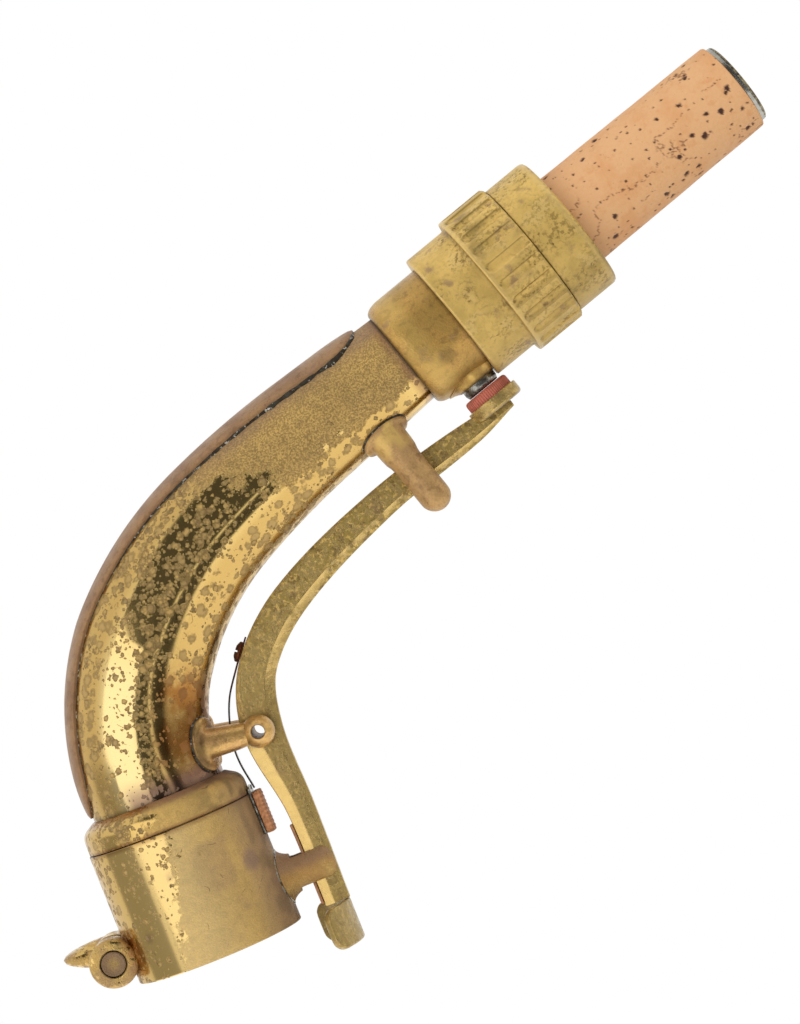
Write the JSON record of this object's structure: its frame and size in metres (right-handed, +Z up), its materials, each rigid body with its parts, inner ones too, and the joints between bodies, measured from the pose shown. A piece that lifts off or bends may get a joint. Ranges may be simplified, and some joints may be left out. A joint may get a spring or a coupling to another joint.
{
  "type": "alto saxophone neck",
  "caption": "Curved brass saxophone neck with a clamp socket, an underslung sprung octave key and a fluted tuning nut that slides its corked mouthpipe in and out.",
  "frame": {"origin": "centre of the socket's open end, on the socket's axis", "axes": "+Z up the socket's axis towards the tube, +X the way the neck bends, towards the mouthpiece end, +Y towards the thumb screw's wing"},
  "size_m": [0.1591, 0.0344, 0.1136],
  "materials": {
    "worn_lacquered_brass": "worn lacquer with brown tarnish spots",
    "brown_brass": "brown copper-toned patina",
    "satin_brass": "satin, olive-gold, pitted",
    "key_brass": "satin with grime",
    "dark_silver": "tarnished nickel silver",
    "spring_steel": "blued, lightly rusted",
    "cork": "bare cork",
    "red_leather": "worn leather"
  },
  "bodies": {
    "neck_body": {"neck_tube": "worn_lacquered_brass", "top_brace": "brown_brass", "socket_collar": "worn_lacquered_brass", "socket_sleeve": "worn_lacquered_brass", "inner_tenon": "satin_brass", "clamp_lug_front": "worn_lacquered_brass", "clamp_lug_rear": "worn_lacquered_brass", "pivot_post_front": "brown_brass", "pivot_post_rear": "brown_brass", "hinge_pin": "brown_brass", "key_guide_fork": "brown_brass", "guard_peg_front": "brown_brass", "guard_peg_rear": "brown_brass", "vent_saddle": "worn_lacquered_brass", "vent_pip": "dark_silver", "bumper_plate": "dark_silver", "bumper_cork": "cork", "tuner_receiver": "brown_brass"},
    "octave_key": {"octave_lever": "key_brass", "hinge_barrel": "key_brass", "pad_cup": "key_brass", "octave_pad": "red_leather", "key_foot": "key_brass", "leaf_spring": "spring_steel", "spring_screw": "spring_steel", "lever_liner": "red_leather"},
    "tuning_nut": {"tuning_nut": "satin_brass", "nut_end_cap": "satin_brass", "nut_keeper_ring": "satin_brass"},
    "mouthpipe": {"mouthpipe_tube": "satin_brass", "neck_cork": "cork", "tip_ring": "dark_silver", "threaded_ring": "satin_brass", "guide_rib": "satin_brass"},
    "thumb_screw": {"thumb_screw": "brown_brass"}
  },
  "joints": [
    {"name": "octave_key_pivot", "type": "hinge", "parent": "neck_body", "child": "octave_key", "pos_m": [0.0192, 0, 0.031], "axis": [0, 1, 0], "range_deg": [0, 4], "stiffness_Nm_per_rad": 0.1, "springref_deg": -8.59, "deforming": ["leaf_spring"]},
    {"name": "tuning_nut_turn", "type": "hinge", "parent": "neck_body", "child": "tuning_nut", "pos_m": [0.06312, 0, 0.07828], "axis": [0.9527, 0, 0.304], "range_deg": [-360, 360]},
    {"name": "mouthpipe_slide", "type": "slide", "parent": "neck_body", "child": "mouthpipe", "axis": [0.9527, 0, 0.304], "range_m": [-0.0032, 0.0032]},
    {"name": "thumb_screw_turn", "type": "hinge", "parent": "neck_body", "child": "thumb_screw", "pos_m": [-0.01624, 0, 0.0049], "axis": [0, 1, 0], "range_deg": [0, 360]}
  ],
  "couplings": [
    {"joint": "mouthpipe_slide", "follows": "tuning_nut_turn", "m_per_rad": -0.0005093}
  ]
}
